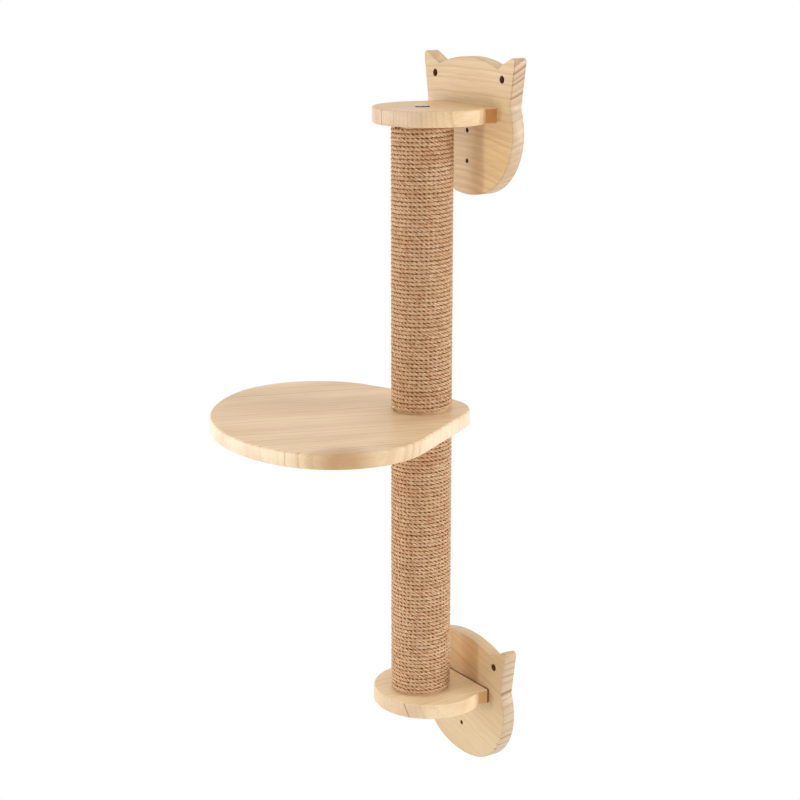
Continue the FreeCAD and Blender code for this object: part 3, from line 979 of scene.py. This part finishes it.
@dataclass
class Post:
    """The post's two rope windings, with the nails that hold the rope.

    Each row of nail_crown is a ring of a nail's head, as shares of its radius and height.
    """

    axis: Vector
    outer_radius: float = 38.0 * MM
    end_margin: float = 2.8 * MM
    nail_radius: float = 2.2 * MM
    nail_height: float = 1.0 * MM
    nail_shank: float = 0.8 * MM
    nail_length: float = 15.0 * MM
    nail_point: float = 2.0 * MM
    nail_tip: float = 0.16 * MM
    nail_sides: int = 20
    nail_crown: tuple[tuple[float, float], ...] = (
        (0.96, 0.0), (1.0, 0.15), (0.92, 0.5), (0.6, 0.85), (0.15, 1.0))

    def wind(self, name: str, pole: str, replaced: Sequence[str], phase: float,
             jute: bpy.types.Material) -> None:
        """Winds one pole with rope.

        Args:
            name: the rope's name.
            pole: the pole's node.
            replaced: the nodes that the rope stands for.
            phase: where the rope's twist starts.
            jute: the rope's material.
        """
        low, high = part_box(pole)
        rope = RopeWinding(name, low.z, high.z, self.axis, self.outer_radius, self.end_margin,
                           phase).build()
        fit(rope, jute, replaced)
        LOG.info("rope %s wound, %d corners", name, len(rope.data.vertices))

    def nail(self, name: str, pole: str, replaced: str, steel: bpy.types.Material) -> None:
        """Drives the two nails of one pole's rope.

        Args:
            name: what the nails are called.
            pole: the pole's node.
            replaced: the node that the nails stand for.
            steel: the nails' material.
        """
        low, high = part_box(pole)
        shank = (Ring(self.nail_tip, -self.nail_length),
                 Ring(self.nail_shank, self.nail_point - self.nail_length),
                 Ring(self.nail_shank, 0.0))
        crown = tuple(Ring(wide * self.nail_radius, high_up * self.nail_height)
                      for wide, high_up in self.nail_crown)
        for place, height, out in (("lower", low.z + self.end_margin, Vector(TO_WALL)),
                                   ("upper", high.z - self.end_margin, Vector(TO_ROOM))):
            foot = self.axis + out * self.outer_radius + Vector((0, 0, height))
            nail = Turned(shank + crown, self.nail_sides).make(f"{name}_{place}", foot, out)
            fit(nail, steel, (replaced,))
        LOG.info("nails %s driven", name)


@dataclass
class ShelfBolt:
    """The flat-headed bolt through a shelf, with a hexagon socket in its head."""

    head_radius: float = 8.5 * MM
    head_thickness: float = 2.6 * MM
    edge: float = 0.7 * MM
    edge_roundness: float = 0.3
    thread_radius: float = 4.0 * MM
    thread_length: float = 44.0 * MM
    thread_tip: float = 3.2 * MM
    thread_chamfer: float = 1.0 * MM
    seat_chamfer: float = 0.15 * MM
    socket_radius: float = 2.5 * MM
    socket_depth: float = 2.0 * MM
    socket_chamfer: float = 0.35 * MM

    def build(self, node: str, steel: bpy.types.Material, head_up: bool) -> None:
        """Makes one bolt in the place of its node.

        Args:
            node: the bolt's node.
            steel: its material.
            head_up: whether the head is on top.
        """
        low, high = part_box(node)
        direction = Vector(UP) if head_up else -Vector(UP)
        seat = high.z - self.head_thickness if head_up else low.z + self.head_thickness
        middle = (low + high) / 2
        top, radius, edge = self.head_thickness, self.head_radius, self.edge
        rings = (
            Ring(self.thread_tip, -self.thread_length),
            Ring(self.thread_radius, self.thread_chamfer - self.thread_length),
            Ring(self.thread_radius, 0.0),
            Ring(radius - self.seat_chamfer, 0.0),
            Ring(radius, self.seat_chamfer),
            Ring(radius, top - edge),
            Ring(radius - self.edge_roundness * edge, top - self.edge_roundness * edge),
            Ring(radius - edge, top),
            Ring(self.socket_radius + self.socket_chamfer, top, True),
            Ring(self.socket_radius, top - self.socket_chamfer, True),
            Ring(self.socket_radius, top - self.socket_depth, True),
        )
        foot = Vector((middle.x, middle.y, seat))
        bolt = Turned(rings).make(node + "_dressed", foot, direction)
        fit(bolt, steel, (node,))
        LOG.info("bolt %s made", node)


@dataclass
class ShelfScrews:
    """The pair of countersunk screws that hold a shelf, their heads flush with the plate's back."""

    head_radius: float = 4.6 * MM
    head_depth: float = 3.4 * MM
    head_rim: float = 0.25 * MM
    head_sunk: float = 0.05 * MM
    rim_inset: float = 0.1 * MM
    face_inset: float = 0.2 * MM
    shank_radius: float = 2.4 * MM
    point_start: float = 6.0 * MM
    point_taper: float = 4.0 * MM
    taper_radius: float = 2.16 * MM
    tip_radius: float = 0.48 * MM
    socket_radius: float = 1.5 * MM
    socket_depth: float = 1.8 * MM
    sides: int = 36

    def build(self, node: str, steel: bpy.types.Material) -> None:
        """Makes both screws in the place of their node.

        Args:
            node: the screws' node.
            steel: their material.
        """
        low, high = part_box(node)
        length = high.y - low.y
        height = (low.z + high.z) / 2
        rings = (
            Ring(self.tip_radius, -length),
            Ring(self.taper_radius, self.point_taper - length),
            Ring(self.shank_radius, self.point_start - length),
            Ring(self.shank_radius, -self.head_depth),
            Ring(self.head_radius - self.rim_inset, -self.head_rim),
            Ring(self.head_radius - self.face_inset, -self.head_sunk),
            Ring(self.socket_radius, -self.head_sunk, True),
            Ring(self.socket_radius, -self.socket_depth, True),
        )
        ends = (("left", low.x + self.head_radius), ("right", high.x - self.head_radius))
        for place, x in ends:
            foot = Vector((x, high.y, height))
            screw = Turned(rings, self.sides).make(f"{node}_{place}", foot, Vector(TO_WALL))
            fit(screw, steel, (node,))
        LOG.info("screws %s made", node)


# --------------------------------------------------------------------------- studio


@dataclass(frozen=True)
class Lamp:
    """A square soft lamp, placed by its direction from the tree, in degrees."""

    name: str
    azimuth: float
    elevation: float
    size: float
    level: float
    distance: float = 3.0

    def hang(self, target: Vector) -> None:
        """Hangs the lamp so that it faces the tree.

        Args:
            target: the point that it faces.
        """
        data = bpy.data.lights.new(self.name, "AREA")
        data.shape = "SQUARE"
        data.size = self.size
        data.energy = self.level * (math.pi * self.distance) ** 2
        lamp = place_in_scene(self.name, data)
        turn, rise = math.radians(self.azimuth), math.radians(self.elevation)
        level_part = math.cos(rise)
        away = Vector((math.sin(turn) * level_part, -math.cos(turn) * level_part, math.sin(rise)))
        lamp.location = target + away * self.distance
        lamp.rotation_euler = away.to_track_quat("Z", "Y").to_euler()


@dataclass
class Studio:
    """Soft light, a plain pale floor and a white surround."""

    target: Vector
    lamps: tuple[Lamp, ...]
    overhead: float = 0.94
    level_side: float = 0.38
    below: float = 0.26
    near_upright: float = 0.9
    tint: Colour = (1.0, 0.92, 0.79)
    white: Colour = (1.0, 1.0, 1.0)
    floor_colour: Colour = (0.86, 0.86, 0.86)
    floor_cloud: Colour = (0.8, 0.8, 0.8)
    cloud_fineness: float = 3.0
    cloud_fade: Fade = (0.3, 0.7, 0.0, 0.06)
    floor_height: float = -2.2
    floor_half: float = 6.0

    def _white_rays(self, recipe: Recipe) -> Socket:
        """Tells the rays that show the surround itself.

        Args:
            recipe: the material or world that asks.

        Returns:
            The socket that is 1 for such a ray.
        """
        rays = recipe.node("LightPath")
        seen, mirrored, through = (rays.outputs[f"Is {kind} Ray"]
                                   for kind in ("Camera", "Glossy", "Transmission"))
        return recipe.sum_up("MAXIMUM", recipe.sum_up("MAXIMUM", seen, mirrored), through)

    def _surround(self) -> None:
        """Makes the world: white to look at, soft light from above and the sides."""
        world = bpy.data.worlds.new("studio surround")
        bpy.context.scene.world = world
        world.use_nodes = True
        recipe = Recipe(world.name, world.node_tree)
        direction = recipe.node("TexCoord").outputs["Generated"]
        height = recipe.node("SeparateXYZ", {0: direction}).outputs[2]
        upper = recipe.share(height, 0.0, self.near_upright, self.level_side, self.overhead)
        lower = recipe.share(height, -self.near_upright, 0.0, self.below, self.level_side)
        is_up = recipe.sum_up("GREATER_THAN", height, 0.0)
        level = recipe.plus(recipe.times(upper, is_up),
                            recipe.times(lower, recipe.minus(1.0, is_up)))
        white = self._white_rays(recipe)
        strength = recipe.sum_up("MAXIMUM", level, white)
        plain = recipe.plus(recipe.times(strength, recipe.minus(1.0, white)), white)
        colour = recipe.blend(white, self.tint, self.white)
        light = recipe.node("Background", {"Color": colour, "Strength": plain})
        output = recipe.node("OutputWorld")
        recipe.tree.links.new(light.outputs[0], output.inputs[0])

    def _floor(self) -> None:
        """Lays the pale floor far below the tree."""
        half, height = self.floor_half, self.floor_height
        corners = np.array([(-half, -half, height), (half, -half, height), (half, half, height),
                            (-half, half, height)])
        floor = make_piece("floor", corners, [(0, 1, 2, 3)])
        recipe = Recipe("pale floor")
        where = recipe.node("TexCoord").outputs["Object"]
        cloud = recipe.share(recipe.noise(where, self.cloud_fineness), *self.cloud_fade)
        colour = recipe.blend(cloud, self.floor_colour, self.floor_cloud)
        matt = recipe.node("BsdfDiffuse", {"Color": colour})
        glow = recipe.node("Emission", {"Color": (*self.white, 1.0), "Strength": 1.0})
        both = recipe.node("MixShader", {0: self._white_rays(recipe)})
        output = recipe.node("OutputMaterial")
        recipe.tree.links.new(matt.outputs[0], both.inputs[1])
        recipe.tree.links.new(glow.outputs[0], both.inputs[2])
        recipe.tree.links.new(both.outputs[0], output.inputs[0])
        dress(floor, recipe.material)
        floor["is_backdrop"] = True

    def build(self) -> None:
        """Sets up the whole studio."""
        self._surround()
        self._floor()
        for lamp in self.lamps:
            lamp.hang(self.target)
        bpy.context.scene.view_settings.view_transform = "Standard"
        LOG.info("studio set with %d lamps", len(self.lamps))


@dataclass
class Viewpoint:
    """The camera that looks at the tree from its right front, a little above the upper shelf."""

    eye: Vector
    azimuth: float
    pitch: float
    focal_pixels: float
    picture_side: int = 800
    sensor: float = 36.0
    nearest: float = 0.05
    farthest: float = 50.0

    def build(self) -> None:
        """Puts the camera in place."""
        data = bpy.data.cameras.new("photo camera")
        data.sensor_width = self.sensor
        data.lens = self.focal_pixels / self.picture_side * self.sensor
        data.clip_start, data.clip_end = self.nearest, self.farthest
        camera = place_in_scene("photo camera", data)
        turn = Matrix.Rotation(math.radians(self.azimuth), 4, "Z")
        tilt = Matrix.Rotation(math.radians(90.0 - self.pitch), 4, "X")
        camera.matrix_world = Matrix.Translation(self.eye) @ turn @ tilt
        bpy.context.scene.camera = camera
        LOG.info("camera set at %s", tuple(round(part, 3) for part in self.eye))


# --------------------------------------------------------------------------- the whole tree


@dataclass(frozen=True)
class PlateDrilling:
    """The four screw holes of a wall plate: one in each ear, and two on its middle line."""

    ear_across: float = 68.5 * MM
    ear_radius: float = 4.5 * MM
    middle_radius: float = 2.75 * MM
    middle_drops: tuple[float, ...] = (65.0 * MM, 102.0 * MM)

    def holes(self, height: float) -> tuple[Hole, ...]:
        """Lists the holes.

        Args:
            height: how far the plate's ear holes lie above the upper plate's.

        Returns:
            The holes.
        """
        ears = tuple(Hole(side * self.ear_across, height, self.ear_radius) for side in (-1, 1))
        middle = tuple(Hole(0.0, height - drop, self.middle_radius) for drop in self.middle_drops)
        return ears + middle


def pine_finishes() -> dict[str, PineFinish]:
    """The finish of each board, by its node.

    Returns:
        One finish per board.
    """
    drilling = PlateDrilling()
    return {
        "upper_wall_plate": PineFinish(
            "upper plate pine", GrainRun.ALONG_WALL, -0.12, -0.06, seed=1.7,
            early_wood=linear(220, 195, 156), late_wood=linear(186, 136, 82),
            end_wood=linear(217, 191, 163), ring_width=8.0 * MM, late_start=0.2,
            face_contrast=0.36, end_contrast=0.85, bold_above=-35.0 * MM,
            swells=(Swell((0.140, PLATE_FRONT, -0.160), 0.17, 0.024),),
            # Painted light below the upper shelf, where the shelf shades the plate; the wood is
            # yellower there too.
            painted_light=(Patch((0.030, PLATE_FRONT, -0.120), 130.0 * MM, 0.85,
                         linear(252, 222, 170), TO_ROOM),),
            knots=(Knot((0.088, PLATE_FRONT, -0.026), 1.0 * MM),),
            holes=drilling.holes(0.0)),
        "lower_wall_plate": PineFinish(
            "lower plate pine", GrainRun.SLOPING_ALONG_WALL, 1.15, 0.045, seed=5.1,
            early_wood=linear(214, 191, 154), end_wood=linear(212, 193, 168),
            ring_width=10.0 * MM, late_start=0.6, face_contrast=0.30, end_contrast=0.85,
            # Painted light in the post's shadow on the lower plate, above the lower shelf.
            painted_light=(Patch((0.0, PLATE_FRONT, -0.735), 60.0 * MM, 0.8,
                         linear(250, 206, 150), TO_ROOM),),
            knots=(Knot((0.078, PLATE_FRONT, -0.844), 0.9 * MM),
                   Knot((0.074, PLATE_FRONT, -0.853), 1.0 * MM)),
            holes=drilling.holes(PLATE_DROP)),
        "upper_shelf": PineFinish(
            "upper shelf pine", GrainRun.OUT_FROM_WALL, 0.21, 0.055, seed=8.4,
            end_wood=linear(221, 197, 167), ring_width=4.0 * MM, end_contrast=0.22,
            streaks=(Streak(0.0, 0.5 * MM),),
            tone_and_shade_patches=(Patch((-0.014, -0.1395, -0.043), 14.0 * MM, 0.5),
                     # Painted shade on the cheek beside the plate, where the plate shades it.
                     Patch((0.0595, -0.022, -0.0425), 60.0 * MM, 0.95,
                           linear(212, 152, 92), TO_RIGHT))),
        "lower_shelf": PineFinish(
            "lower shelf pine", GrainRun.OUT_FROM_WALL, 0.24, 0.83, seed=3.3,
            early_wood=linear(248, 228, 194), end_wood=linear(227, 201, 170),
            # This shelf carries a band of painted shade along its joint with the plate.
            face_contrast=0.20, end_contrast=0.08, joint_shade_width=3.4 * MM,
            streaks=(Streak(-0.2484, 0.7 * MM, -0.365, 0.6),),
            # Painted shade on the cheek beside the plate, where the plate shades it.
            tone_and_shade_patches=(Patch((0.0595, -0.022, -0.7845), 60.0 * MM, 0.9,
                           linear(224, 176, 112), TO_RIGHT),)),
        "platform": PineFinish(
            "platform pine", GrainRun.ALONG_PLATFORM, 0.30, 0.47, seed=12.9,
            early_wood=linear(242, 218, 184), late_wood=linear(190, 142, 94),
            end_wood=linear(244, 226, 199), ring_width=9.0 * MM,
            face_contrast=0.45, end_contrast=0.10,
            streaks=(Streak(0.170, 0.5 * MM, 0.0, 0.45),),
            tone_and_shade_patches=(Patch((0.118, -0.272, -0.420), 50.0 * MM, 0.72),)),
    }


def finish_hidden_parts(nodes: dict[str, bpy.types.Object], steel: bpy.types.Material) -> None:
    """Gives the parts inside the tree their own materials.

    Args:
        nodes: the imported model's nodes by name.
        steel: the bright steel.
    """
    softwood = PineFinish("turned pole", GrainRun.UP_THE_POST, 0.01, 0.09,
                          early_wood=linear(220, 186, 142)).mix()
    beech = PineFinish("beech dowel", GrainRun.OUT_FROM_WALL, 0.3, 0.3, ring_width=1.2 * MM,
                       early_wood=linear(222, 190, 154)).mix()
    plan = (("upper_pole", softwood, "pole_wood"),
            ("lower_pole", softwood, "pole_wood"),
            ("upper_shelf_dowels", beech, "beech"),
            ("lower_shelf_dowels", beech, "beech"),
            ("upper_pole_inserts", steel, "zinc_steel"),
            ("lower_pole_inserts", steel, "zinc_steel"),
            ("joining_stud", steel, "zinc_steel"))
    for name, material, slot in plan:
        dress(nodes[name], material)
        LOG.info("hidden part %s finished", name)


def main() -> None:
    """Builds the looks of the whole tree, its studio and its camera."""
    logging.basicConfig(level=logging.INFO, format="%(message)s")
    cad_low, cad_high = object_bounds()
    nodes = frame["nodes"]
    low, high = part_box("upper_pole")
    axis = Vector(((low.x + high.x) / 2, (low.y + high.y) / 2, 0.0))

    # Zinc with painted shade on its upright sides.
    zinc = MetalFinish("zinc plated steel", (0.66, 0.61, 0.52), 0.30, side_shade=0.07).mix()
    blued = MetalFinish("blued steel", (0.060, 0.030, 0.016), 0.60, metallic=0.3).mix()
    jute = JuteFinish().mix()

    Boards(pine_finishes()).build(nodes)
    finish_hidden_parts(nodes, zinc)
    post = Post(axis)
    for half, phase in (("upper", 0.4), ("lower", 2.1)):
        post.wind(f"{half}_rope_winding", f"{half}_pole", (f"{half}_rope", "rope_end_turns"),
                  phase, jute)
    for half in ("upper", "lower"):
        post.nail(f"{half}_rope_nail", f"{half}_pole", f"{half}_rope_tacks", blued)
    for half in ("upper", "lower"):
        ShelfBolt().build(f"{half}_shelf_bolt", zinc, head_up=half == "upper")
    for half in ("upper", "lower"):
        ShelfScrews().build(f"{half}_shelf_screws", zinc)

    middle = (cad_low + cad_high) / 2
    Studio(middle, (
        Lamp("front lamp", 4.0, 1.0, size=0.35, level=0.22),
        Lamp("left front lamp", -40.0, 3.0, size=1.1, level=0.26),
        Lamp("left lamp", -78.0, 2.0, size=1.2, level=0.11),
        Lamp("right lamp", 135.0, 9.0, size=0.9, level=0.50),
        Lamp("low lamp", 30.0, -28.0, size=2.4, level=0.15),
    )).build()
    Viewpoint(Vector((1.7718, -1.2976, 0.1661)), azimuth=56.28, pitch=14.61,
              focal_pixels=1789.8).build()

    LOG.info("sizes written")


if __name__ == "__main__":
    main()
